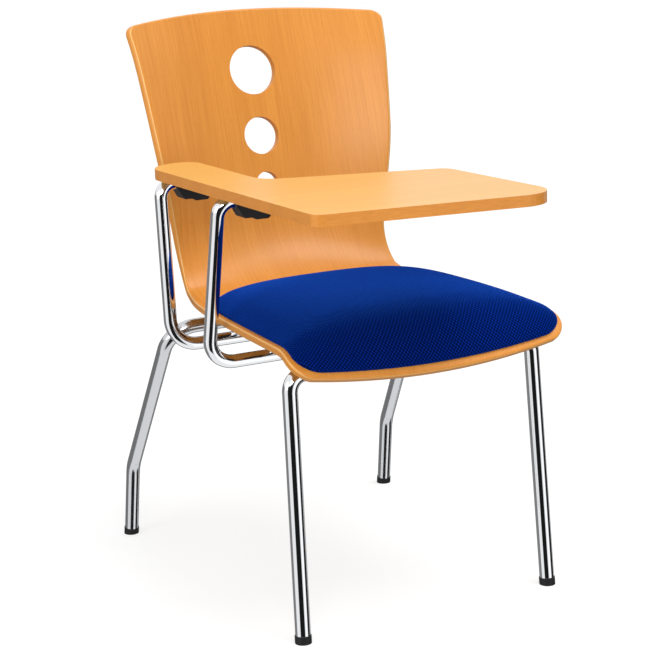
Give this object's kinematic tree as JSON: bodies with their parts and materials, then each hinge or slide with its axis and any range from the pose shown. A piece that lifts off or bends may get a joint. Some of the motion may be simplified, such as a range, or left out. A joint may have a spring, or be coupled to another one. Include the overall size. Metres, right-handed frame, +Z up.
{
  "type": "tablet arm chair",
  "caption": "Moulded plywood shell chair with a padded seat, a chromed tube frame and a fixed writing tablet on tube arms at the sitter's right.",
  "frame": {"origin": "on the floor, under the middle of the whole chair's outline seen from above", "axes": "+Z up; the sitter faces -Y; the tablet is at the sitter's right, towards -X"},
  "size_m": [0.505, 0.7676, 0.8439],
  "materials": {
    "beech": "clear satin lacquer on moulded beech plywood",
    "beech_pale": "clear satin lacquer on paler beech plywood",
    "cushion_board": "plain black board, hidden under the cushion",
    "foam": "open-cell upholstery foam, hidden in the cover",
    "cover": "royal blue woven mesh fabric",
    "chrome": "bright chromium plate on steel tube",
    "zinc": "zinc-plated steel fixings",
    "black_metal": "black satin paint on cast brackets",
    "black_plastic": "black moulded plastic",
    "foot": "black moulded foot cap"
  },
  "bodies": {
    "root": {"seat_shell": "beech", "cushion_base": "cushion_board", "cushion_foam": "foam", "cushion_cover": "cover", "cushion_screws": "zinc", "front_leg_tube": "chrome", "rear_leg_tube": "chrome", "rail_right": "chrome", "rail_left": "chrome", "seat_spacers": "black_plastic", "seat_bolts": "zinc", "seat_bolt_washers": "zinc", "seat_tee_nuts": "zinc", "arm_tube_front": "chrome", "arm_tube_rear": "chrome", "arm_tube_plugs": "black_plastic", "tablet_board": "beech_pale", "tablet_inserts": "zinc", "bracket_front": "black_metal", "bracket_rear": "black_metal", "bracket_screws": "zinc", "foot_front_right": "foot", "foot_front_left": "foot", "foot_rear_right": "foot", "foot_rear_left": "foot"}
  },
  "joints": []
}
